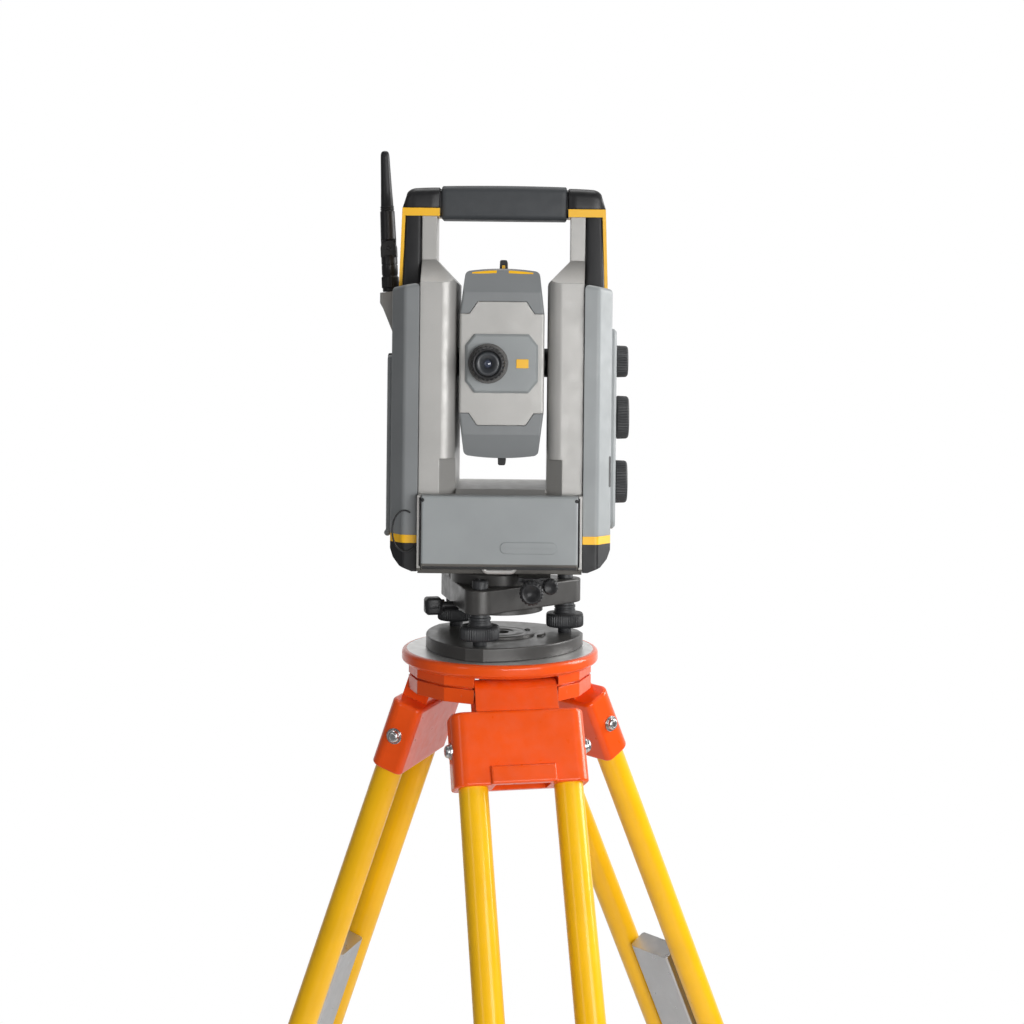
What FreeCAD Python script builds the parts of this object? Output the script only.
import FreeCAD, Part
import math
import os
import re
import Sketcher
from FreeCAD import Placement, Rotation, Vector

# Robotic total station (electronic theodolite) with tribrach and tripod, parametric.
#
# Frame, in millimetres: +Z up, origin where the vertical axis meets the tripod head's flat top.
# The observer stands on the -Y side and looks along +Y. Azimuths are degrees round Z, from -Y
# towards +X.

# Driving dimensions: millimetres and degrees. Heights are above the tripod head's top.
DIMENSIONS = {
    # tripod head
    "head_radius": 88, "head_rim": 9, "head_plate": 12, "head_opening": 32, "skirt_radius": 82,
    "skirt_bore": 50, "skirt_foot": -34.5, "skirt_groove": -21.5, "window_wide": 74, "leg_azimuth": 12.5,
    "hinge_radius": 62, "hinge_high": -28, "hinge_pin": 4, "hinge_eye": 12,
    # how far each leg leans out, and how far its lower part is drawn out so that the three feet are level
    "lean_first": 26, "lean_second": 26.5, "lean_third": 19, "drawn_first": 49.36, "drawn_second": 53.66,
    "drawn_third": 0,
    # one leg, along its own length from the hinge
    "leg_wide": 116, "leg_deep": 34, "casting_top": 18, "casting_end": 80, "tube_radius": 12.5,
    "tube_wall": 2.5, "tube_pitch": 82, "tube_start": 32, "tube_end": 790, "clamp_start": 738,
    "clamp_end": 800, "rail_wide": 48, "rail_thick": 20, "rail_start": 270, "rail_end": 880,
    "shoe_start": 862, "shoe_end": 922, "spike_radius": 7, "spike_shank": 936, "spike_tip": 950,
    "side_screw_at": 48, "clamp_screw_at": 769, "clamp_knob_radius": 17,
    # centre screw
    "screw_radius": 7.95, "screw_bore": 5, "screw_knob_radius": 22,
    # tribrach
    "tribrach_azimuth": -16, "foot_circle": 60, "foot_base": 12, "corner_reach": 75.4, "corner_half": 6.1,
    "corner_arc": 96.6, "body_low": 40, "body_top": 61, "lobe_radius": 14, "hub_radius": 38,
    "hub_low": 34.4,
    "foot_shaft": 6, "foot_knob_radius": 20, "lock_high": 39, "lock_square": 15, "vial_radius": 9,
    "vial_circle": 51,
    # spindle: the part of the instrument that stays still in the tribrach
    "flange_radius": 45, "flange_top": 72, "spindle_radius": 16, "spindle_top": 133, "stud_circle": 24,
    "stud_radius": 4, "sight_bore": 8, "circle_radius": 40, "circle_high": 96, "circle_thick": 3,
    # alidade: the yoke and its covers
    "base_low": 74, "floor_high": 146, "trunnion_high": 256, "gap_half": 40, "yoke_half": 71,
    "yoke_deep": 58, "tower_top": 326, "strut_foot": 347, "strut_top": 386, "strut_inner": 59.5,
    "strut_outer": 72.5, "strut_deep": 18, "tower_edge": 12, "cover_inner": 71.5, "cover_outer": 96,
    "cover_shoulder": 84, "cover_deep": 62, "cover_cheek": 48, "cover_low": 107.5, "cover_top": 325.5,
    "cover_top_outer": 321, "cover_wall": 4, "strip_low": 100.5, "bumper_low": 76, "panel_out": 100.5,
    "knob_panel_low": 111, "knob_panel_top": 287, "knob_panel_deep": 40,
    # handle
    "grip_half": 56, "grip_low": 383.2, "grip_top": 414, "grip_deep": 16, "cap_inner": 57.2,
    "cap_low": 393, "cap_top": 412.5, "cap_outer": 90.4, "arm_low": 327, "arm_inner": 73,
    "arm_outer": 89.8,
    "arm_lean": 2.2, "arm_foot": 24, "arm_head": 19, "strip_outer": 92.8,
    # control panel, latch, battery, antenna
    "panel_half": 67, "panel_back": -64, "panel_front": -79, "panel_low": 80, "panel_top": 143,
    "panel_pivot_y": -70, "panel_pivot_z": 138, "latch_half": 15.5, "latch_low": 76, "latch_bar": 2.6,
    "door_out": 100.8, "door_half": 36, "door_low": 106, "door_top": 262, "door_hinge_x": -99.4,
    "door_hinge_z": 106, "antenna_x": -104.3, "antenna_y": 30, "antenna_z": 319.5, "antenna_lean": -3,
    "antenna_pivot": 39.5,
    # side knobs
    "knob_shaft": 5, "focus_radius": 14.4, "focus_y": 2, "focus_z": 258, "drive_radius": 19.2,
    "vertical_y": -16, "vertical_z": 208.5, "horizontal_y": 0, "horizontal_z": 150, "knob_reach": 112.4,
    # telescope
    "scope_half": 36.8, "scope_end_half": 32.2, "scope_shoulder": 42, "scope_end": 79.8,
    "scope_crown": 200,
    "scope_deep": 57, "scope_face": 58, "scope_nose": 50, "scope_nose_z": 83, "scope_arc": 600,
    "band_side": 43, "band_mid": 53.5, "optic_x": -11.4, "optic_tube": 16, "optic_bell": 22,
    "rim_radius": 23.5,
    "axle_radius": 12, "bearing_radius": 20, "ring_radius": 14.8, "ocular_radius": 17.2,
    "plate_half_x": 31.5, "plate_half_z": 25.5, "plate_front": -61,
    # plummet and running clearance
    "plummet_x": 28, "plummet_z": 63, "plummet_ring_radius": 10.5, "running": 0.05, "gap": 0.3,
}

DOC = FreeCAD.newDocument("theodolite")
SHEET = DOC.addObject("Spreadsheet::Sheet", "dims")
for row, (alias, size) in enumerate(DIMENSIONS.items(), start=1):
    SHEET.set(f"A{row}", alias)
    SHEET.set(f"B{row}", str(size))
    SHEET.setAlias(f"B{row}", alias)
DOC.recompute()

PLANES = {"XY": "XY_Plane", "XZ": "XZ_Plane", "YZ": "YZ_Plane"}
# Rotation that carries a primitive's own Z axis onto each axis.
AXES = {"X": Rotation(Vector(0, 1, 0), 90), "Y": Rotation(Vector(1, 0, 0), -90), "Z": Rotation()}
NODES = []
LEANS = ("lean_first", "lean_second", "lean_third")
DRAWN = ("drawn_first", "drawn_second", "drawn_third")


def cells(expression):
    """The expression with each dimension's name pointed at its cell."""
    return re.sub(r"[a-z]+(?:_[a-z]+)*", lambda m: "dims." + m[0] if m[0] in DIMENSIONS else m[0],
                  str(expression))


def val(expression):
    return float(SHEET.evalExpression(cells(expression)))


def polar(radius, azimuth):
    """Expressions for the X and Y of a point at that radius and azimuth."""
    return f"({radius}) * sin({azimuth})", f"-({radius}) * cos({azimuth})"


def node(thing, label):
    """Marks a finished object as a sub-part, under its own name."""
    thing.Label = label
    NODES.append(thing)
    return thing


class Piece:
    """A PartDesign body whose features take their sizes from the dims sheet."""

    def __init__(self, name, export=True):
        self.body = DOC.addObject("PartDesign::Body", name)
        self.body.AllowCompound = True
        if export:
            node(self.body, name)

    def place(self, x="0", y="0", z="0", rotation=None):
        if rotation:
            self.body.Placement = Placement(Vector(), rotation)
        for axis, size in zip("xyz", (x, y, z)):
            self.body.setExpression(f"Placement.Base.{axis}", cells(size))
        return self

    def origin(self, role):
        return next(f for f in self.body.Origin.OriginFeatures if f.Role == role)

    def sketch(self, plane, points, offset):
        """A closed outline. A point is (x, y), or (x, y, radius) where the edge to the next is an arc:
        a positive radius bulges out of an outline drawn anticlockwise, a negative one bulges in."""
        sk = self.body.newObject("Sketcher::SketchObject", "outline")
        sk.AttachmentSupport = (self.origin(PLANES[plane]), [""])
        sk.MapMode = "FlatFace"
        sk.setExpression("AttachmentOffset.Base.z", cells(offset))
        places = [(val(p[0]), val(p[1])) for p in points]
        ends = []
        for i, point in enumerate(points):
            start, stop = Vector(*places[i]), Vector(*places[(i + 1) % len(points)])
            if len(point) == 2:
                sk.addGeometry(Part.LineSegment(start, stop), False)
                ends.append((1, 2))
                continue
            radius = val(point[2])
            step = stop - start
            left = Vector(-step.y, step.x).normalize()
            rise = math.sqrt(radius ** 2 - step.Length ** 2 / 4)
            centre = (start + stop) / 2 + left * math.copysign(rise, radius)
            if radius < 0:
                start, stop = stop, start
            angles = [math.atan2(p.y - centre.y, p.x - centre.x) for p in (start, stop)]
            circle = Part.Circle(centre, Vector(0, 0, 1), abs(radius))
            sk.addGeometry(Part.ArcOfCircle(circle, *angles), False)
            ends.append((1, 2) if radius > 0 else (2, 1))
        for i, point in enumerate(points):
            after = (i + 1) % len(points)
            sk.addConstraint(Sketcher.Constraint("Coincident", i, ends[i][1], after, ends[after][0]))
            for kind, size, expression in zip(("DistanceX", "DistanceY"), places[i], point):
                index = sk.addConstraint(Sketcher.Constraint(kind, i, ends[i][0], size))
                sk.setExpression(f"Constraints[{index}]", cells(expression))
            if len(point) == 3:
                index = sk.addConstraint(Sketcher.Constraint("Radius", i, abs(val(point[2]))))
                sk.setExpression(f"Constraints[{index}]", cells(f"abs({point[2]})"))
        return sk

    def check(self, feature, cut, before):
        DOC.recompute()
        after = self.body.Shape.Volume
        if "Invalid" in feature.State or "Error" in feature.State or (cut and after > before - 1e-6):
            raise RuntimeError(f"{self.body.Label}: feature {feature.Name} failed")
        return feature

    def volume(self):
        DOC.recompute()
        return self.body.Shape.Volume if self.body.Tip else 0.0

    def prism(self, plane, points, low, high, cut=False):
        """An outline on a plane, from low to high along that plane's own axis."""
        before = self.volume()
        if plane == "XZ":  # this plane's sketches face -Y
            offset = f"-({low})" if cut else f"-({high})"
        else:
            offset = high if cut else low
        kind = "Pocket" if cut else "Pad"
        feature = self.body.newObject(f"PartDesign::{kind}", kind.lower())
        feature.Profile = self.sketch(plane, points, offset)
        feature.setExpression("Length", cells(f"({high}) - ({low})"))
        return self.check(feature, cut, before)

    def turn(self, points, cut=False):
        """An outline of (radius, height) points turned round the piece's Z axis."""
        before = self.volume()
        feature = self.body.newObject("PartDesign::Groove" if cut else "PartDesign::Revolution", "turned")
        sk = self.sketch("XZ", points, "0")
        feature.Profile = sk
        feature.ReferenceAxis = (sk, ["V_Axis"])
        feature.Angle = 360
        return self.check(feature, cut, before)

    def primitive(self, shape, cut, sizes, base, rotation):
        before = self.volume()
        kind = ("Subtractive" if cut else "Additive") + shape
        feature = self.body.newObject(f"PartDesign::{kind}", shape.lower())
        feature.Placement = Placement(Vector(), rotation)
        for name, size in sizes.items():
            feature.setExpression(name, cells(size))
        for axis, size in zip("xyz", base):
            feature.setExpression(f"Placement.Base.{axis}", cells(size))
        return self.check(feature, cut, before)

    def block(self, x, y, z, cut=False, azimuth="0"):
        """A box from x[0] to x[1] and so on, turned round Z by the azimuth."""
        sizes = {"Length": f"({x[1]}) - ({x[0]})", "Width": f"({y[1]}) - ({y[0]})",
                 "Height": f"({z[1]}) - ({z[0]})"}
        base = (f"({x[0]}) * cos({azimuth}) - ({y[0]}) * sin({azimuth})",
                f"({x[0]}) * sin({azimuth}) + ({y[0]}) * cos({azimuth})", z[0])
        return self.primitive("Box", cut, sizes, base, Rotation(Vector(0, 0, 1), val(azimuth)))

    def rod(self, axis, radius, centre, low, high, cut=False, azimuth="0"):
        """A cylinder from low to high along an axis; centre holds its other two coordinates, in order."""
        sizes = {"Radius": radius, "Height": f"({high}) - ({low})"}
        x, y, z = {"X": (low, *centre), "Y": (centre[0], low, centre[1]), "Z": (*centre, low)}[axis]
        base = (f"({x}) * cos({azimuth}) - ({y}) * sin({azimuth})",
                f"({x}) * sin({azimuth}) + ({y}) * cos({azimuth})", z)
        return self.primitive("Cylinder", cut, sizes, base,
                              Rotation(Vector(0, 0, 1), val(azimuth)) * AXES[axis])

    def around(self, features, count):
        """Repeats features evenly round the piece's Z axis."""
        pattern = self.body.newObject("PartDesign::PolarPattern", "around")
        pattern.Originals = features
        pattern.Axis = (self.origin("Z_Axis"), [""])
        pattern.Angle = 360
        pattern.Occurrences = count
        self.body.Tip = pattern
        return self.check(pattern, False, 0)

    def edge_names(self, chooser):
        DOC.recompute()
        edges = self.body.Tip.Shape.Edges
        return [f"Edge{i + 1}" for i, edge in enumerate(edges) if chooser(edge.BoundBox)]

    def soften(self, size, chooser, kind="Fillet"):
        """Rounds, or with kind Chamfer bevels, the edges whose bounding box the chooser accepts."""
        before = self.volume()
        names = self.edge_names(chooser)
        if not names:
            raise RuntimeError(f"{self.body.Label}: no edge to soften")
        base = self.body.Tip
        feature = self.body.newObject(f"PartDesign::{kind}", kind.lower())
        feature.Base = (base, names)
        feature.setExpression("Radius" if kind == "Fillet" else "Size", cells(size))
        return self.check(feature, False, before)


def upright(test=lambda b: True):
    """Chooses edges that run along Z."""
    return lambda b: b.ZLength > 2 and b.XLength + b.YLength < 1e-3 and test(b)


def level_at(z, test=lambda b: True):
    """Chooses edges that lie in the level plane at height z."""
    height = val(z)
    return lambda b: abs(b.ZMin - height) < 1e-3 and b.ZLength < 1e-3 and test(b)


def at_y(y, test=lambda b: True):
    """Chooses edges that lie in the plane of constant y."""
    place = val(y)
    return lambda b: abs(b.YMin - place) < 1e-3 and b.YLength < 1e-3 and test(b)


def at_x(x, test=lambda b: True):
    """Chooses edges that lie in the plane of constant x."""
    place = val(x)
    return lambda b: abs(b.XMin - place) < 1e-3 and b.XLength < 1e-3 and test(b)


def join(kind, name, *things):
    """A document boolean (Cut, Common) of two objects, or a Compound of several."""
    result = DOC.addObject(f"Part::{kind}", name)
    if kind == "Compound":
        result.Links = list(things)
    else:
        result.Base, result.Tool = things
    DOC.recompute()
    return result


def mirrored(source):
    """The source reflected in the plane X = 0."""
    twin = DOC.addObject("Part::Mirroring", "mirrored")
    twin.Source = source
    twin.Normal = Vector(1, 0, 0)
    return twin


def both_sides(name, *pieces):
    """One node that holds each piece and its reflection in X = 0."""
    bodies = [p.body for p in pieces]
    return node(join("Compound", name, *bodies, *[mirrored(b) for b in bodies]), name)


# ---------------------------------------------------------------- tripod head

def leg_azimuth(number):
    return f"leg_azimuth + {120 * (number - 1)}"


def tripod_head():
    """Round plate with a rolled rim over a faceted skirt that three leg windows split into hinge lugs."""
    head = Piece("tripod_head")
    head.turn([("head_opening", "-head_plate"), ("head_radius - 4", "-head_plate"),
               ("head_radius", "-head_rim"),
               ("head_radius", "0"), ("head_opening", "0")])
    head.soften("3.4", level_at("0", lambda b: b.XLength > val("head_radius * 1.9")))
    head.soften("2.4", level_at("-head_rim"))
    corners = [polar("skirt_radius", f"{leg_azimuth(n)} + {a}")
               for n in (1, 2, 3) for a in (-47, -27, 27, 47)]
    head.prism("XY", corners, "skirt_foot", "-head_plate + 0.5")
    head.rod("Z", "skirt_bore", ("0", "0"), "skirt_foot - 1", "-head_plate", cut=True)
    head.turn([("skirt_radius - 5", "skirt_groove - 1"), ("skirt_radius + 2", "skirt_groove - 1"),
               ("skirt_radius + 2", "skirt_groove + 1"), ("skirt_radius - 5", "skirt_groove + 1")],
               cut=True)
    head.rod("Z", "head_opening", ("0", "0"), "-head_plate - 1", "1", cut=True)
    azimuth = leg_azimuth(1)
    window = head.block(("-window_wide / 2", "window_wide / 2"), ("-skirt_radius - 5", "-40"),
                        ("skirt_foot - 1", "-head_plate"), cut=True, azimuth=azimuth)
    head.around([window], 3)
    pin_hole = head.rod("X", "hinge_pin + running", ("-hinge_radius", "hinge_high"), "-46.4", "46.4",
                        cut=True, azimuth=azimuth)
    head.around([pin_hole], 3)


def hinge_bolts():
    """Three plain pins, one across each leg window."""
    pins = []
    for number in (1, 2, 3):
        pin = Piece(f"hinge_bolt_{number}", export=False)
        pin.rod("X", "hinge_pin", ("-hinge_radius", "hinge_high"), "-46", "46",
                azimuth=leg_azimuth(number))
        pin.body.Label = f"hinge_bolt_{number}"
        pins.append(pin.body)
    node(join("Compound", "hinge_bolts", *pins), "hinge_bolts")


def centre_screw():
    """Hollow fixing screw: thread, collar and ribbed grip, with the plumb bore right through."""
    screw = Piece("centre_screw")
    screw.turn([("screw_bore", "-62"), ("screw_knob_radius - 2", "-62"), ("screw_knob_radius", "-60"),
                ("screw_knob_radius", "-34"), ("screw_knob_radius - 3", "-30"), ("10", "-30"),
                ("10", "-24"),
                ("14", "-24"), ("14", "-17.5"), ("screw_radius", "-17.5"), ("screw_radius", "9"),
                ("screw_radius - 1", "10"), ("screw_bore", "10")])
    flute = screw.rod("Z", "3", ("0", "-screw_knob_radius - 1"), "-64", "-28", cut=True)
    screw.around([flute], 12)
    washer = Piece("clamp_washer")
    washer.turn([("screw_radius + 0.3", "-17"), ("38", "-17"), ("40", "-15"), ("40", "-head_plate"),
                 ("screw_radius + 0.3", "-head_plate")])


# ---------------------------------------------------------------- tripod legs

def hang(piece, number, drawn="0", turned=Rotation()):
    """Places a leg piece, drawn hanging straight down from its hinge at the origin, at its leg's
    rest pose, turned first and then moved down the leg by the drawn length."""
    azimuth, lean = leg_azimuth(number), LEANS[number - 1]
    x, y = polar(f"(hinge_radius + ({drawn}) * sin({lean}))", azimuth)
    turn_out = Rotation(Vector(0, 0, 1), val(azimuth)) * Rotation(Vector(1, 0, 0), -val(lean))
    return piece.place(x, y, f"hinge_high - ({drawn}) * cos({lean})", turn_out * turned)


def leg_head(number):
    """Top casting: hinge tongue, socket block for two tubes and a raised tab at its front foot."""
    casting = Piece(f"leg_head_{number}")
    half, front, back = "leg_wide / 2", "-leg_deep / 2 + 2", "leg_deep / 2 - 1"
    casting.block((f"-{half}", half), (front, back), ("-casting_end", "-casting_top"))
    casting.soften("12", upright(lambda b: b.YMin < 0))
    casting.soften("6", upright(lambda b: b.YMin > 0 and abs(b.XMin) > 50))
    casting.soften("2", level_at("-casting_end"))
    casting.soften("3", level_at("-casting_top"))
    tongue = "window_wide / 2 - 1"
    casting.block((f"-({tongue})", tongue), ("-hinge_eye", "hinge_eye"), ("-casting_top - 4", "0"))
    casting.rod("X", "hinge_eye", ("0", "0"), f"-({tongue})", tongue)
    casting.block(("-28", "28"), (f"{front} - 3.5", f"{front} + 1"),
                  ("-casting_end", "-casting_end + 15"))
    casting.soften("2", at_y(f"{front} - 3.5"))
    casting.block(("-24", "24"), ("-12", "10"), ("-casting_end - 1", "-casting_end + 36"), cut=True)
    for side in (-1, 1):
        casting.rod("Z", "tube_radius + running", (f"{side} * tube_pitch / 2", "0"), "-casting_end - 1",
                    "-tube_start + 1", cut=True)
    casting.rod("X", "hinge_pin + running", ("0", "0"), "-60", "60", cut=True)
    casting.rod("X", "3 + running", ("0", "-side_screw_at"), "-60", "60", cut=True)
    hang(casting, number)


def leg_tubes(number):
    """Pair of fibreglass tubes between the top casting and the clamp."""
    tubes = Piece(f"leg_tubes_{number}")
    for side in (-1, 1):
        centre = (f"{side} * tube_pitch / 2", "0")
        tubes.rod("Z", "tube_radius", centre, "-tube_end", "-tube_start")
    for side in (-1, 1):
        centre = (f"{side} * tube_pitch / 2", "0")
        tubes.rod("Z", "tube_radius - tube_wall", centre, "-tube_end - 1", "-tube_start + 1", cut=True)
    for low, high in (("-60", "-tube_pitch / 2"), ("tube_pitch / 2", "60")):
        tubes.rod("X", "3 + running", ("0", "-side_screw_at"), low, high, cut=True)
    hang(tubes, number)


def leg_screws(number):
    """Two cap screws with washers that hold the tubes in the top casting."""
    screws = Piece(f"leg_screws_{number}")
    high = "-side_screw_at"
    for side, low, stop in ((-1, "-leg_wide / 2", "-49"), (1, "49", "leg_wide / 2")):
        screws.rod("X", "3", ("0", high), low, stop)
        face = f"{side} * leg_wide / 2"
        for radius, near, far in (("6.2", "0", "1.4"), ("4.6", "1.4", "5.8")):
            ends = sorted((f"{face} + {side} * {near}", f"{face} + {side} * {far}"), key=val)
            screws.rod("X", radius, ("0", high), *ends)
    for side in (-1, 1):
        socket = sorted((f"{side} * (leg_wide / 2 + 3)", f"{side} * (leg_wide / 2 + 8)"), key=val)
        screws.rod("X", "2.3", ("0", high), *socket, cut=True)
    hang(screws, number)


def leg_clamp(number):
    """Bottom casting: holds the tube ends and guides the sliding rail, which its thumb screw grips."""
    clamp = Piece(f"leg_clamp_{number}")
    clamp.block(("-leg_wide / 2", "leg_wide / 2"), ("-leg_deep / 2", "leg_deep / 2"),
                ("-clamp_end", "-clamp_start"))
    clamp.soften("12", upright())
    clamp.soften("2.5", level_at("-clamp_end"))
    clamp.soften("2.5", level_at("-clamp_start"))
    clamp.rod("Y", "12", ("0", "-clamp_screw_at"), "-leg_deep / 2 - 4", "-leg_deep / 2 + 4")
    clamp.block(("-rail_wide / 2 - gap", "rail_wide / 2 + gap"),
                ("-rail_thick / 2 - gap", "rail_thick / 2 + gap"), ("-clamp_end - 1", "-clamp_start + 1"),
                cut=True)
    for side in (-1, 1):
        clamp.rod("Z", "tube_radius + running", (f"{side} * tube_pitch / 2", "0"), "-tube_end",
                  "-clamp_start + 1", cut=True)
    clamp.rod("Y", "5 + running", ("0", "-clamp_screw_at"), "-leg_deep / 2 - 5", "0", cut=True)
    hang(clamp, number)


def clamp_knob(number):
    """Three-lobed thumb screw in the clamp."""
    knob = Piece(f"clamp_knob_{number}")
    radius = "clamp_knob_radius"
    knob.turn([("0", "10.6"), ("5", "10.6"), ("5", "22"), (f"{radius} - 5", "22"), (radius, "25"),
               (radius, "35"), (f"{radius} - 3", "38"), ("0", "38")])
    dip = knob.rod("Z", "9", ("0", f"{radius} + 6"), "21", "40", cut=True)
    knob.around([dip], 3)
    hang(knob, number, "clamp_screw_at", Rotation(Vector(1, 0, 0), 90))


def lower_leg(number):
    """Sliding rail, and on its end a cast shoe with a tread and a steel point."""
    leg = Piece(f"lower_leg_{number}")
    rail_x, rail_y = "rail_wide / 2", "rail_thick / 2"
    leg.block((f"-{rail_x}", rail_x), (f"-{rail_y}", rail_y), ("-rail_end", "-rail_start"))
    leg.soften("3", upright())
    shoe = Piece(f"shoe_{number}", export=False)
    shoe.prism("XZ", [("-14", "-shoe_end"), ("14", "-shoe_end"), (f"{rail_x} + 3", "-rail_end - 6"),
                      (f"{rail_x} + 3", "-shoe_start"), (f"-({rail_x} + 3)", "-shoe_start"),
                      (f"-({rail_x} + 3)", "-rail_end - 6")], f"-({rail_y} + 4)", f"{rail_y} + 4")
    shoe.soften("3", lambda b: b.ZLength > 10)
    shoe.block(("-13", "13"), (f"-{rail_y} - 34", f"-{rail_y}"), ("-shoe_end + 12", "-shoe_end + 18"))
    shoe.soften("5", upright(lambda b: b.YMin < val(f"-{rail_y} - 30")))
    shoe.turn([("0", "-spike_tip"), ("2", "-spike_tip"), ("spike_radius", "-spike_shank"),
               ("spike_radius", "-shoe_end + 4"), ("0", "-shoe_end + 4")])
    shoe.block((f"-{rail_x} - running", f"{rail_x} + running"),
               (f"-{rail_y} - running", f"{rail_y} + running"),
               ("-rail_end", "-shoe_start + 1"), cut=True)
    NODES.remove(leg.body)
    for part in (leg, shoe):
        hang(part, number, DRAWN[number - 1])
    leg.body.Label = f"rail_{number}"
    node(join("Compound", f"lower_leg_{number}", leg.body, shoe.body), f"lower_leg_{number}")


# ---------------------------------------------------------------- tribrach

def foot_azimuth(number):
    return f"tribrach_azimuth + {120 * (number - 1)}"


def tribrach_base():
    """Foot plate: three bowed sides between three cut corners, with the threaded hole and screw seats."""
    base = Piece("tribrach_base")
    outline = []
    for number in (1, 2, 3):
        azimuth = foot_azimuth(number)
        outline.append(polar("corner_reach", f"{azimuth} - corner_half"))
        outline.append((*polar("corner_reach", f"{azimuth} + corner_half"), "corner_arc"))
    base.prism("XY", outline, "0", "foot_base")
    base.soften("1.2", level_at("foot_base"))
    base.soften("1.0", level_at("0"), "Chamfer")
    base.rod("Z", "31", ("0", "0"), "foot_base - 1", "foot_base + 1.6")
    base.rod("Z", "screw_radius + running", ("0", "0"), "-1", "foot_base + 3", cut=True)
    for number in (1, 2, 3):
        base.rod("Z", "foot_shaft + 0.2", polar("foot_circle", foot_azimuth(number)), "foot_base - 6",
                 "foot_base + 1", cut=True)


def tribrach_body():
    """Upper body: three lobes for the foot screws, a lower hub for the lock and a lug for the level."""
    body = Piece("tribrach_body")
    outline = []
    for number in (1, 2, 3):
        azimuth = foot_azimuth(number)
        centre = polar("foot_circle", azimuth)
        for side, bulge in ((-60, ["lobe_radius"]), (60, [])):
            edge = polar("lobe_radius", f"{azimuth} + {side}")
            outline.append((f"{centre[0]} + {edge[0]}", f"{centre[1]} + {edge[1]}", *bulge))
    body.prism("XY", outline, "body_low", "body_top")
    body.soften("1.5", level_at("body_top"))
    body.soften("1.5", level_at("body_low"))
    body.rod("Z", "hub_radius", ("0", "0"), "hub_low", "body_low + 1")
    vial = polar("vial_circle", f"{foot_azimuth(2)} + 60")
    body.rod("Z", "vial_radius + 3", vial, "body_low + 4", "body_top - 1")
    body.rod("Z", "vial_radius + running", vial, "body_low + 10", "body_top", cut=True)
    body.rod("Z", "sight_bore + 3", ("0", "0"), "hub_low - 1", "body_top + 1", cut=True)
    for number in (1, 2, 3):
        azimuth = foot_azimuth(number)
        body.rod("Z", "foot_shaft + running", polar("foot_circle", azimuth), "body_low - 1",
                 "body_top + 1", cut=True)
        body.rod("Z", "stud_radius + running", polar("stud_circle", azimuth), "body_top - 10",
                 "body_top + 1", cut=True)
    body.rod("X", "3.5 + running", ("0", "lock_high"), "-hub_radius - 8", "-hub_radius + 8", cut=True,
             azimuth=f"{foot_azimuth(1)} + 30")


def foot_screw(number):
    """Levelling screw: ball tip, fluted knob, collar, shaft through the body and a cap on top."""
    screw = Piece(f"foot_screw_{number}")
    knob = "foot_knob_radius"
    screw.turn([("0", "foot_base - 5"), ("4", "foot_base - 5"), ("foot_shaft", "foot_base - 3"),
                ("foot_shaft", "17.5"), (f"{knob} - 2", "17.5"), (knob, "19.5"), (knob, "27"),
                (f"{knob} - 2", "29"), ("9.7", "29"), ("9.7", "body_low - 4"), ("8.6", "body_low - 0.6"),
                ("foot_shaft", "body_low - 0.6"), ("foot_shaft", "body_top + gap"),
                ("7", "body_top + gap"),
                ("7", "body_top + 6.6"), ("6", "body_top + 7.6"), ("0", "body_top + 7.6")])
    scallop = screw.rod("Z", "12", ("0", f"{knob} + 9.5"), "17", "29.5", cut=True)
    screw.around([scallop], 4)
    screw.place(*polar("foot_circle", foot_azimuth(number)))


def tribrach_small_parts():
    """Lock knob on its radial shaft, and the round level."""
    lock = Piece("tribrach_lock")
    side = "lock_square / 2"
    lock.block(("-69", "-54"), (f"-{side}", side), (f"lock_high - {side}", f"lock_high + {side}"))
    lock.soften("2.6", lambda b: b.XLength > 5, "Chamfer")
    lock.rod("X", "3.5", ("0", "lock_high"), "-55", "-hub_radius + 7")
    lock.place(rotation=Rotation(Vector(0, 0, 1), val(f"{foot_azimuth(1)} + 30")))
    level = Piece("level_vial")
    level.rod("Z", "vial_radius", polar("vial_circle", f"{foot_azimuth(2)} + 60"), "body_low + 10",
              "body_top - 1.4")


def spindle():
    """Standing part of the instrument: flange, three studs and the hollow vertical axle; and its circle."""
    axle = Piece("spindle")
    axle.turn([("sight_bore", "body_top"), ("flange_radius", "body_top"),
               ("flange_radius", "flange_top - 2"),
               ("flange_radius - 2", "flange_top"), ("spindle_radius + 6", "flange_top"),
               ("spindle_radius + 6", "circle_high"), ("spindle_radius", "circle_high"),
               ("spindle_radius", "spindle_top"), ("sight_bore", "spindle_top")])
    for number in (1, 2, 3):
        axle.rod("Z", "stud_radius", polar("stud_circle", foot_azimuth(number)), "body_top - 9",
                 "body_top + 1")
    circle = Piece("horizontal_circle")
    circle.turn([("spindle_radius + running", "circle_high"), ("circle_radius", "circle_high"),
                 ("circle_radius", "circle_high + circle_thick"),
                 ("spindle_radius + running", "circle_high + circle_thick")])


# ---------------------------------------------------------------- alidade

def tower(frame, side):
    """One upright of the yoke with the flared strut that carries the handle."""
    def span(near, far):
        return sorted((f"{side} * {near}", f"{side} * {far}"), key=val)
    frame.block(span("gap_half", "yoke_half"), ("-yoke_deep", "yoke_deep"),
                ("floor_high - 1", "tower_top"))
    inner, outer = span("strut_inner", "strut_outer")
    foot_in, foot_out = span("gap_half", "yoke_half")
    levels = ((foot_in, foot_out, "yoke_deep", "tower_top"), (inner, outer, "strut_deep", "strut_foot"))
    loft = frame.body.newObject("PartDesign::AdditiveLoft", "flare")
    outlines = [frame.sketch("XY", [(a, f"-{deep}"), (b, f"-{deep}"), (b, deep), (a, deep)], high)
                for a, b, deep, high in levels]
    loft.Profile, loft.Sections, loft.Ruled = outlines[0], [outlines[1]], True
    frame.check(loft, False, 0)
    frame.block((inner, outer), ("-strut_deep", "strut_deep"), ("strut_foot", "strut_top"))


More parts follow.
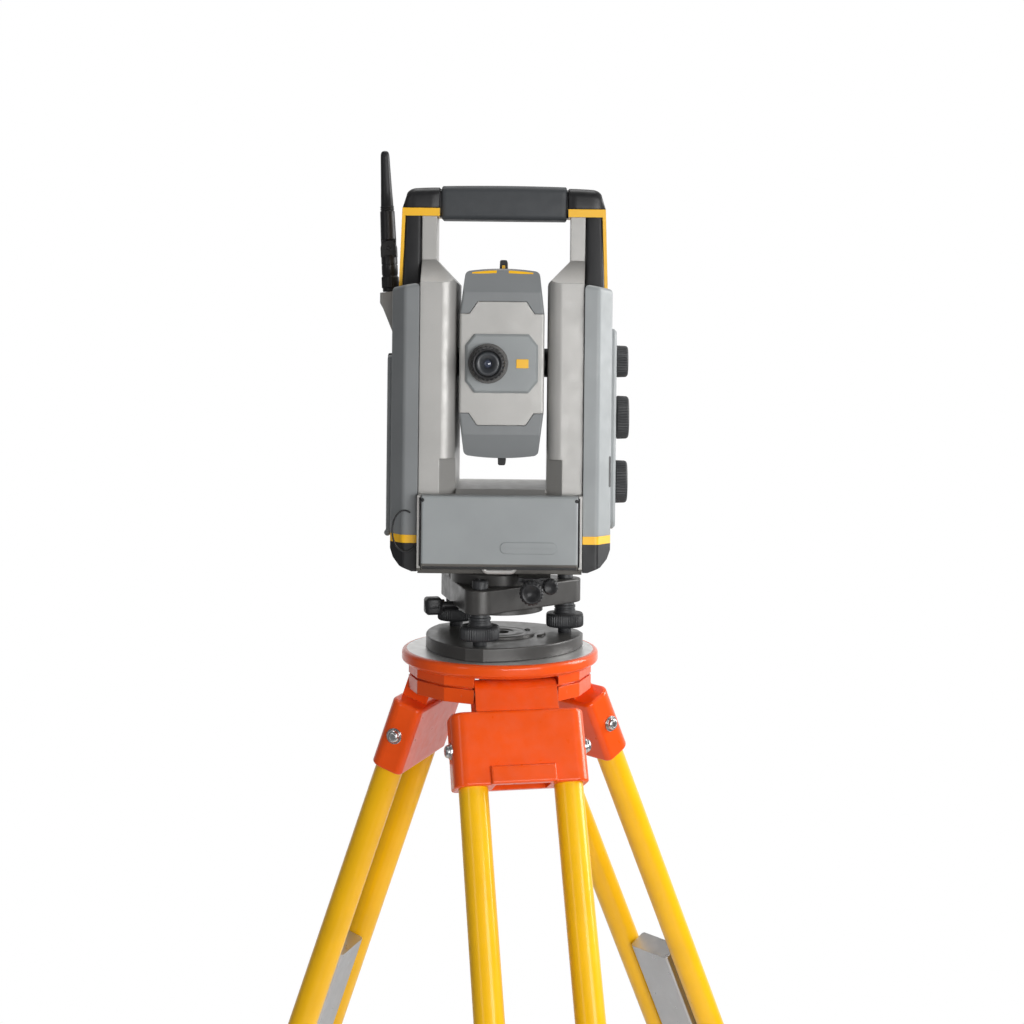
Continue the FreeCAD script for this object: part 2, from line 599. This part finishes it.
def yoke_frame():
    """Main casting: base with the axle bore, two hollow towers with bearing seats, and handle struts."""
    frame = Piece("yoke_frame")
    frame.block(("-yoke_half", "yoke_half"), ("-yoke_deep", "yoke_deep"), ("base_low", "floor_high"))
    for side in (-1, 1):
        tower(frame, side)
    frame.soften("tower_edge",
                 upright(lambda b: abs(abs(b.XMin) - val("gap_half")) < 0.1 and b.ZMin > 140))
    # the floor and the towers' feet fall away towards the front and the back
    frame.prism("YZ", [("-yoke_deep - 1", "floor_high - 8"), ("-yoke_deep + 14", "floor_high + 0.01"),
                       ("-yoke_deep + 14", "floor_high + 4"), ("-yoke_deep - 1", "floor_high + 4")],
                "-gap_half", "gap_half", cut=True)
    for side in (-1, 1):
        near, far = sorted((f"{side} * 46", f"{side} * (yoke_half + 1)"), key=val)
        frame.block((near, far), ("-yoke_deep + 10", "yoke_deep - 10"),
                    ("floor_high + 8", "tower_top - 8"),
                    cut=True)
        boss = sorted((f"{side} * 44", f"{side} * 58"), key=val)
        frame.rod("X", "bearing_radius + 6", ("0", "trunnion_high"), *boss)
        seat = sorted((f"{side} * 46", f"{side} * 59"), key=val)
        frame.rod("X", "bearing_radius + running", ("0", "trunnion_high"), *seat, cut=True)
        frame.rod("X", "axle_radius + 1", ("0", "trunnion_high"),
                  *sorted((f"{side} * 30", f"{side} * 47"), key=val),
                  cut=True)
        # facet at the foot of each tower's inner edge
        toe = [(f"{side} * (gap_half + 14)", "-yoke_deep - 1"),
               (f"{side} * (gap_half - 1)", "-yoke_deep - 1"),
               (f"{side} * (gap_half - 1)", "-yoke_deep + 17"), (f"{side} * gap_half", "-yoke_deep + 17")]
        frame.prism("XY", toe if side < 0 else toe[::-1], "floor_high - 4", "floor_high + 27", cut=True)
        # lug that carries the control panel's pivot
        lug = sorted((f"{side} * (panel_half + 0.6)", f"{side} * (yoke_half - 0.2)"), key=val)
        frame.block(lug, ("panel_pivot_y - 4", "-yoke_deep + 2"), ("base_low + 4", "panel_pivot_z + 5"))
        frame.rod("X", "2 + running", ("panel_pivot_y", "panel_pivot_z"), *lug, cut=True)
    frame.rod("Z", "circle_radius + 5", ("0", "0"), "base_low - 1", "floor_high - 28", cut=True)
    frame.rod("Z", "spindle_radius + running", ("0", "0"), "floor_high - 29", "spindle_top + 1", cut=True)


def plan(inner):
    """Cover outline seen from above on the right-hand side: flat, then bevelled towards the outer face."""
    return [(inner, "-cover_deep"), ("cover_shoulder", "-cover_deep"), ("cover_outer", "-cover_cheek"),
            ("cover_outer", "cover_cheek"), ("cover_shoulder", "cover_deep"), (inner, "cover_deep")]


def cover_shell(name):
    """Right-hand side cover as a shell, before its own fittings are added."""
    cover = Piece(name)
    cover.prism("XY", plan("cover_inner"), "cover_low", "cover_top")
    cover.prism("XZ", [("cover_inner", "cover_top"), ("cover_outer + 1", "cover_top_outer"),
                       ("cover_outer + 1", "cover_top + 2"), ("cover_inner", "cover_top + 2")],
                "-cover_deep - 1", "cover_deep + 1", cut=True)
    cover.soften("5", upright(lambda b: b.XMin > val("cover_inner + 1")))
    cover.soften("4", lambda b: b.ZMin > val("cover_low + 100") and b.YLength > 20 and
                 b.XMin > val("cover_outer - 30") and b.ZLength < 1)
    return cover


def hollow(cover):
    wall = "cover_wall"
    cover.prism("XY", [("cover_inner - 1", f"-cover_deep + {wall}"),
                       ("cover_shoulder - 1", f"-cover_deep + {wall}"),
                       (f"cover_outer - {wall}", "-cover_cheek + 2"),
                       (f"cover_outer - {wall}", "cover_cheek - 2"),
                       ("cover_shoulder - 1", f"cover_deep - {wall}"),
                       ("cover_inner - 1", f"cover_deep - {wall}")],
                f"cover_low + {wall}", f"cover_top_outer - {wall}", cut=True)


def right_cover():
    """Right-hand cover with the raised knob panel and its three shaft bores."""
    cover = cover_shell("right_cover")
    deep = "knob_panel_deep"
    cover.prism("YZ", [(f"-{deep}", "knob_panel_low"), (deep, "knob_panel_low"), (deep, "knob_panel_top"),
                       (f"-{deep}", "knob_panel_top")], "cover_outer - 1", "panel_out")
    cover.soften("10", lambda b: b.XMax > val("panel_out - 0.1") and b.YLength + b.ZLength < 1e-3)
    cover.soften("2.2", at_x("panel_out"), "Chamfer")
    hollow(cover)
    for y, z in (("focus_y", "focus_z"), ("vertical_y", "vertical_z"), ("horizontal_y", "horizontal_z")):
        cover.rod("X", "knob_shaft + running", (y, z), "cover_outer - 6", "panel_out + 1", cut=True)


def left_cover():
    """Left-hand cover with the antenna ear, the battery opening and the door's recess."""
    cover = cover_shell("left_cover")
    cover.prism("XZ", [("cover_outer - 5", "264"), ("cover_outer", "270"), ("110", "304"), ("113", "309"),
                       ("113", "318"), ("cover_outer - 5", "320.5")], "antenna_y - 14", "antenna_y + 14")
    cover.soften("3", lambda b: b.ZLength > 5 and b.XMin > 111 and b.YLength < 1e-3)
    hollow(cover)
    cover.block(("cover_outer - 8", "cover_outer + 2"), ("-door_half + 4", "door_half - 4"),
                ("door_low + 10", "door_top - 12"), cut=True)
    cover.rod("Y", "4.3", ("-door_hinge_x", "door_hinge_z"), "-door_half - 1", "door_half + 1", cut=True)
    NODES.remove(cover.body)
    cover.body.Label = "left_cover_pattern"
    node(mirrored(cover.body), "left_cover")


def bumpers_and_strips():
    """Dark corner bumpers under the covers, and the coloured strips on the bumpers and the handle."""
    bumper = Piece("bumper", export=False)
    bumper.prism("XY", plan("cover_inner"), "bumper_low", "strip_low")
    bumper.prism("XZ", [("cover_inner + 2", "bumper_low - 1"), ("cover_outer + 1", "bumper_low - 1"),
                        ("cover_outer + 1", "strip_low - 3"), ("cover_outer - 3", "bumper_low + 11"),
                        ("cover_outer - 9", "bumper_low + 4.5")],
                 "-cover_deep - 1", "cover_deep + 1", cut=True)
    bumper.soften("4",
                  lambda b: b.XMin > val("cover_inner + 1") and b.ZLength > 3
                   and b.ZMax > val("strip_low - 1"))
    bumper.block(("cover_inner - 1", "cover_shoulder - 2"), ("-cover_deep + 6", "cover_deep - 6"),
                 ("bumper_low + 5", "strip_low + 1"), cut=True)
    both_sides("bumpers", bumper)
    band = Piece("bumper_strip", export=False)
    band.prism("XY", plan("cover_inner"), "strip_low", "cover_low")
    band.soften("4.6", upright(lambda b: b.XMin > val("cover_inner + 1")))
    band.block(("cover_inner - 1", "cover_shoulder - 2"), ("-cover_deep + 6", "cover_deep - 6"),
               ("strip_low - 1", "cover_low + 1"), cut=True)
    edge = Piece("handle_strip", export=False)
    edge.prism("XZ", [("arm_outer", "cover_top - 2.9"), ("strip_outer", "cover_top - 3.4"),
                      ("cap_outer", "cap_low"), ("cap_inner", "cap_low"), ("cap_inner", "strut_top"),
                      ("arm_outer - arm_lean", "strut_top")],
               "-arm_head - 0.5", "arm_head + 0.5")
    both_sides("trim_strips", band, edge)


def handle():
    """Grip bar, and on each side a corner cap and a side arm."""
    grip = Piece("handle_grip")
    grip.block(("-grip_half", "grip_half"), ("-grip_deep", "grip_deep"), ("grip_low", "grip_top"))
    grip.soften("6", lambda b: b.XLength > 50)
    grip.soften("1.2", lambda b: b.XLength < 1e-3 and b.XMax > val("grip_half - 1"))
    grip.block(("-74", "74"), ("-8", "8"), ("cap_low + 3", "cap_low + 13"))
    cap = Piece("handle_cap", export=False)
    cap.prism("XZ", [("cap_inner", "cap_low"), ("cap_outer", "cap_low"),
                     ("cap_outer - 3.4", "cap_top - 3.4", "70"),
                     ("cap_inner + 10", "cap_top"), ("cap_inner", "cap_top")], "-arm_head", "arm_head")
    cap.soften("3",
               lambda b: (b.YLength > 20 and b.ZLength < 1e-3
                           and abs(b.XMin - val("cap_outer - 3.4")) < 1e-3))
    cap.soften("2", lambda b: b.YLength < 1e-3 and b.ZMin > val("cap_low + 1"))
    cap.block(("cap_inner - 1", "75"), ("-8 - running", "8 + running"), ("cap_low + 3 - running",
              "cap_low + 13 + running"), cut=True)
    arm = Piece("handle_arm", export=False)
    arm.prism("XZ", [("arm_inner", "cover_top + 0.1"), ("arm_outer", "cover_top - 2.9"),
                     ("arm_outer - arm_lean", "strut_top"), ("arm_inner", "strut_top")], "-arm_foot",
                     "arm_foot")
    for side in (-1, 1):
        wedge = [(f"{side} * (arm_foot + 1)", "arm_low - 8"),
                 (f"{side} * (arm_foot + 1)", "strut_top + 1"),
                 (f"{side} * arm_head", "strut_top + 1"), (f"{side} * arm_foot", "arm_low - 8")]
        arm.prism("YZ", wedge if side > 0 else wedge[::-1], "arm_inner - 1", "arm_outer + 1", cut=True)
    both_sides("handle_ends", cap, arm)


def side_knobs():
    """Focus, vertical and horizontal knobs: each turns on a shaft in the right-hand cover."""
    for label, radius, y, z in (("focus_knob", "focus_radius", "focus_y", "focus_z"),
                                ("vertical_knob", "drive_radius", "vertical_y", "vertical_z"),
                                ("horizontal_knob", "drive_radius", "horizontal_y", "horizontal_z")):
        knob = Piece(label)
        knob.turn([("0", "cover_outer - 8"), ("knob_shaft + 2", "cover_outer - 8"),
                   ("knob_shaft + 2", "cover_outer - 6"), ("knob_shaft", "cover_outer - 6"),
                   ("knob_shaft", "panel_out + gap"), (radius, "panel_out + gap"),
                   (f"{radius} - 0.7", "knob_reach - 1"), (f"{radius} - 1.7", "knob_reach"),
                   ("0", "knob_reach")])
        flute = knob.rod("Z", "0.9", ("0", f"{radius} + 0.1"), "panel_out + 1.5", "knob_reach + 1",
                         cut=True)
        knob.around([flute], 32)
        knob.place("0", y, z, Rotation(Vector(0, 1, 0), 90))


def control_panel():
    """Panel at the front of the base that tilts out on two pivots, with the release bail below it."""
    panel = Piece("control_panel")
    half = "panel_half"
    panel.block((f"-{half}", half), ("panel_front", "panel_back"), ("panel_low", "panel_top"))
    panel.soften("4",
                 lambda b: b.XLength > 50 and b.YMin < val("panel_front + 1")
                  and b.ZMin < val("panel_low + 1"),
                 "Chamfer")
    panel.soften("2", at_y("panel_front"))
    panel.soften("1", at_y("panel_back"))
    panel.block((f"-{half} + 5", f"{half} - 5"), ("panel_front + 8", "panel_back + 1"),
                ("panel_low + 6", "panel_top - 10"), cut=True)
    panel.rod("X", "2", ("panel_pivot_y", "panel_pivot_z"), f"-{half} - 3.4", f"{half} + 3.4")
    for side in (-1, 1):
        slot = sorted((f"{side} * (latch_half + 0.3)", f"{side} * (latch_half - latch_bar - 0.3)"),
                      key=val)
        panel.block(slot, ("panel_front + 2", "panel_front + 7.6"), ("panel_low - 1", "panel_low + 10"),
                    cut=True)
    bail = Piece("panel_latch")
    bail.block(("-latch_half", "latch_half"), ("panel_front + 2.4", "panel_front + 7.2"),
               ("latch_low", "panel_low + 9"))
    bail.soften("4",
                lambda b: b.YLength > 3 and b.XLength + b.ZLength < 1e-3 and b.ZMin < val("latch_low + 1"))
    bail.block(("-latch_half + latch_bar", "latch_half - latch_bar"), ("panel_front", "panel_front + 9"),
               ("latch_low + latch_bar", "panel_low + 10"), cut=True)


def battery_parts():
    """Battery, its bottom-hinged door in the left cover, and the catch at the door's top."""
    pack = Piece("battery")
    pack.block(("-cover_outer + cover_wall + 0.5", "-cover_inner - 0.5"), ("-31", "31"),
               ("cover_low + cover_wall", "door_top - 46"))
    pack.soften("3", lambda b: b.XLength > 10)
    door = Piece("battery_door")
    door.block(("-door_out", "-cover_outer - gap"), ("-door_half", "door_half"), ("door_low", "door_top"))
    door.soften("2.5", at_x("-door_out"), "Chamfer")
    door.rod("Y", "3", ("door_hinge_x", "door_hinge_z"), "-door_half + 0.5", "door_half - 0.5")
    door.block(("-door_out - 1", "-cover_outer - 2"), ("-6.5", "6.5"),
               ("door_top - 16", "door_top + 1"), cut=True)
    catch = Piece("battery_latch")
    catch.block(("-door_out - 2.4", "-cover_outer - 2.2"), ("-6.2", "6.2"),
                ("door_top - 11.5", "door_top + 1.4"))
    catch.soften("1.2", at_x("-door_out - 2.4"))


def antenna():
    """Whip antenna on a knurled swivel with an elbow hinge; both are drawn upright and then leaned."""
    lean = Rotation(Vector(0, 1, 0), val("antenna_lean"))
    foot = Piece("antenna_base")
    foot.turn([("0", "0"), ("7", "0"), ("7", "3"), ("8", "3.6"), ("8", "13.4"), ("7.2", "14"),
               ("7.2", "15.4"),
               ("7.4", "16"), ("7.4", "antenna_pivot", "7.4"), ("0", "antenna_pivot + 7.4")])
    foot.block(("-9", "9"), ("-3.2 - gap", "3.2 + gap"), ("antenna_pivot - 8.2", "48"), cut=True)
    foot.rod("Y", "2 + running", ("0", "antenna_pivot"), "-9", "9", cut=True)
    whip = Piece("antenna_whip")
    whip.turn([("0", "47.6"), ("7.2", "47.6"), ("6.7", "74"), ("6", "74.6"), ("6.6", "75.4"),
               ("6", "76.2"),
               ("6.4", "77"), ("5.8", "78"), ("4.1", "124"), ("3", "128"), ("0", "129.4")])
    whip.block(("-4", "4"), ("-3.2", "3.2"), ("antenna_pivot", "48.6"))
    whip.rod("Y", "6.4", ("0", "antenna_pivot"), "-3.2", "3.2")
    whip.rod("Y", "2", ("0", "antenna_pivot"), "-6.8", "6.8")
    for piece in (foot, whip):
        piece.place("antenna_x", "antenna_y", "antenna_z", lean)


def plummet():
    """Built-in optical plummet under the base: elbow housing and its focusing ring."""
    tube = Piece("plummet_tube")
    tube.block(("plummet_x - 11.5", "plummet_x + 16"), ("-80", "-50"), ("base_low - 4", "base_low"))
    tube.rod("Y", "8", ("plummet_x", "plummet_z"), "-90", "-76.6")
    tube.block(("plummet_x - 7", "plummet_x + 7"), ("-84", "-76.6"), ("plummet_z", "base_low - 0.2"))
    tube.rod("Y", "6.4", ("plummet_x + 16", "plummet_z + 4"), "-86", "-76.6")
    tube.block(("plummet_x", "plummet_x + 16"), ("-82", "-76.6"), ("plummet_z + 3", "plummet_z + 9"))
    tube.rod("Y", "3 + running", ("plummet_x", "plummet_z"), "-91", "-80", cut=True)
    ring = Piece("plummet_ring")
    ring.turn([("0", "0"), ("9", "0"), ("plummet_ring_radius", "1.5"), ("plummet_ring_radius", "8"),
               ("0", "8")])
    ring.turn([("0", "7"), ("3", "7"), ("3", "16.8"), ("0", "16.8")])
    flute = ring.rod("Z", "0.9", ("0", "plummet_ring_radius"), "1.6", "9", cut=True)
    ring.around([flute], 18)
    ring.place("plummet_x", "-98.4", "plummet_z", AXES["Y"])


# ---------------------------------------------------------------- telescope

def high(offset):
    return f"trunnion_high + ({offset})"


def scope_band(margin):
    """Stepped outline of the telescope's light middle band, grown by a margin."""
    rows = []
    for sign in (1, -1):
        side, mid = (high(f"{sign} * (band_side + {margin})"), high(f"{sign} * (band_mid + {margin})"))
        row = [("scope_half + 2", side), (f"28 + {margin}", side), (f"21 + {margin}", mid)]
        row += [(f"-({x})", z) for x, z in reversed(row)]
        rows.append(row if sign > 0 else row[::-1])
    return rows[0] + rows[1]


def telescope():
    """Housing split into a light middle and two dark end caps round one hollow."""
    blank = Piece("telescope_blank", export=False)
    end, shoulder = "scope_end", "scope_shoulder"
    blank.prism("XZ", [("-scope_end_half", high(f"-{end}"), "scope_crown"),
                       ("scope_end_half", high(f"-{end}")),
                       ("scope_half", high(f"-{shoulder}")), ("scope_half", high(shoulder)),
                       ("scope_end_half", high(end), "scope_crown"), ("-scope_end_half", high(end)),
                       ("-scope_half", high(shoulder)), ("-scope_half", high(f"-{shoulder}"))],
                "-scope_deep", "scope_deep")
    blank.soften("5", lambda b: b.YLength > 50 and b.XLength < 1e-3
                 and abs(abs(b.ZMin - val("trunnion_high")) - val("scope_end")) < 1e-3)
    for sign in (1, -1):
        def at(offset):
            return high(f"{sign} * ({offset})")
        outline = [("-scope_deep - 2", at("100")), ("-scope_deep - 2", at("scope_face - 2.4")),
                   ("-scope_nose", at("scope_nose_z"), f"{-sign} * scope_arc"),
                   ("scope_nose", at("scope_nose_z")),
                   ("scope_deep + 2", at("scope_face - 2.4")), ("scope_deep + 2", at("100"))]
        if sign < 0:
            outline = [("scope_nose", at("scope_nose_z"), "-scope_arc"),
                       ("-scope_nose", at("scope_nose_z")),
                       ("-scope_deep - 2", at("scope_face - 2.4")), ("-scope_deep - 2", at("100")),
                       ("scope_deep + 2", at("100")), ("scope_deep + 2", at("scope_face - 2.4"))]
        blank.prism("YZ", outline, "-scope_half - 1", "scope_half + 1", cut=True)
    blank.soften("2", at_y("-scope_deep"))
    blank.soften("2", at_y("scope_deep"))
    blank.block(("-27.5", "27.5"), ("-50", "50"), (high("-64"), high("64")), cut=True)
    blank.rod("X", "axle_radius + running", ("0", "trunnion_high"), "-40", "40", cut=True)
    blank.rod("Y", "optic_tube + running", ("optic_x", "trunnion_high"), "-60", "-49", cut=True)
    blank.rod("Y", "optic_bell + running", ("optic_x", "trunnion_high"), "49", "60", cut=True)
    for low, top in ((high("72"), high("90")), (high("-90"), high("-72"))):
        blank.block(("-3.7", "3.7"), ("-16.1", "16.1"), (low, top), cut=True)
    band = Piece("telescope_band", export=False)
    band.prism("XZ", scope_band("0"), "-60", "60")
    wide_band = Piece("telescope_wide_band", export=False)
    wide_band.prism("XZ", scope_band("gap"), "-60", "60")
    node(join("Common", "telescope_body", blank.body, band.body), "telescope_body")
    node(join("Cut", "telescope_caps", blank.body, wide_band.body), "telescope_caps")


def telescope_optics():
    """Optical tube with its objective bell, the two lenses, the front plate and the dioptre ring."""
    lay = Rotation(Vector(1, 0, 0), -90)
    tube = Piece("optical_tube")
    tube.turn([("10", "-66"), ("ocular_radius", "-66"), ("ocular_radius", "plate_front - 0.2"),
               ("optic_tube", "plate_front - 0.2"), ("optic_tube", "50.5"), ("optic_bell", "50.5"),
               ("optic_bell", "scope_deep + 0.3"), ("rim_radius", "scope_deep + 0.3"),
               ("rim_radius", "63"),
               ("rim_radius - 1", "64"), ("optic_bell - 2.5", "64"), ("optic_bell - 2.5", "56"),
               ("12", "44"),
               ("10", "30")])
    tube.place("optic_x", "0", "trunnion_high", lay)
    front_lens = Piece("eyepiece_lens", export=False)
    front_lens.turn([("0", "-64"), ("9.9", "-64"), ("9.9", "-61"), ("0", "-61")])
    back_lens = Piece("objective_lens", export=False)
    back_lens.turn([("0", "56.1"), ("optic_bell - 2.6", "56.1"), ("optic_bell - 2.6", "58.6"),
                    ("optic_bell - 8", "60"), ("0", "60.6")])
    for lens in (front_lens, back_lens):
        lens.place("optic_x", "0", "trunnion_high", lay)
    node(join("Compound", "lenses", front_lens.body, back_lens.body), "lenses")
    plate = Piece("eyepiece_plate")
    x, z = "plate_half_x", "plate_half_z"
    plate.prism("XZ", [(f"-{x} + 8", high(f"-{z}")), (f"{x} - 8", high(f"-{z}")), (x, high(f"-{z} + 10")),
                       (x, high(f"{z} - 10")), (f"{x} - 8", high(z)), (f"-{x} + 8", high(z)),
                       (f"-{x}", high(f"{z} - 10")), (f"-{x}", high(f"-{z} + 10"))],
                "plate_front", "-scope_deep - 0.02")
    plate.soften("2", at_y("plate_front"), "Chamfer")
    plate.rod("Y", "optic_tube + running", ("optic_x", "trunnion_high"), "plate_front - 1",
              "-scope_deep + 1",
              cut=True)
    ring = Piece("eyepiece_ring")
    ring.turn([("4.2", "-82"), ("12", "-84"), ("ring_radius - 1.4", "-84"), ("ring_radius", "-82.6"),
               ("ring_radius", "-66.3"), ("10.4", "-66.3"), ("10.4", "-72"), ("4.2", "-79")])
    flute = ring.rod("Z", "0.8", ("0", "ring_radius + 0.1"), "-85", "-70", cut=True)
    ring.around([flute], 28)
    ring.place("optic_x", "0", "trunnion_high", lay)


def telescope_small_parts():
    """Sights, trunnion axles with their bearings, and the vertical circle."""
    sights = Piece("sights")
    for low, top in ((high("72.1"), high("91.5")), (high("-91.5"), high("-72.1"))):
        sights.block(("-3.6", "3.6"), ("-16", "16"), (low, top))
    sights.soften("1", lambda b: b.YLength > 20)
    axle = Piece("trunnion_axle", export=False)
    axle.rod("X", "axle_radius", ("0", "trunnion_high"), "27.6", "68")
    axle.rod("X", "5", ("0", "trunnion_high"), "27", "69", cut=True)
    both_sides("trunnion_axles", axle)
    bearing = Piece("trunnion_bearing", export=False)
    bearing.rod("X", "bearing_radius", ("0", "trunnion_high"), "46.1", "57.8")
    bearing.rod("X", "axle_radius + running", ("0", "trunnion_high"), "46", "58", cut=True)
    both_sides("trunnion_bearings", bearing)
    circle = Piece("vertical_circle")
    circle.rod("X", "36", ("0", "trunnion_high"), "-65", "-62")
    circle.rod("X", "axle_radius + running", ("0", "trunnion_high"), "-66", "-61", cut=True)


def build():
    tripod_head()
    hinge_bolts()
    centre_screw()
    for number in (1, 2, 3):
        for make in (leg_head, leg_tubes, leg_screws, leg_clamp, clamp_knob, lower_leg, foot_screw):
            make(number)
    for make in (tribrach_base, tribrach_body, tribrach_small_parts, spindle, yoke_frame, right_cover,
                 left_cover,
                 bumpers_and_strips, handle, side_knobs, control_panel, battery_parts, antenna, plummet,
                 telescope, telescope_optics, telescope_small_parts):
        make()


def write():
    DOC.recompute()
    for thing in DOC.Objects:
        if {"Invalid", "Error"} & set(thing.State):
            raise RuntimeError(f"{thing.Label} failed: {thing.State}")
    os.makedirs("parts", exist_ok=True)
    for thing in NODES:
        shape = thing.Shape
        if shape.isNull() or not shape.isValid() or not shape.Solids:
            raise RuntimeError(f"{thing.Label} has no valid shape")
        shape.exportStep(f"parts/{thing.Label}.step")


build()
write()
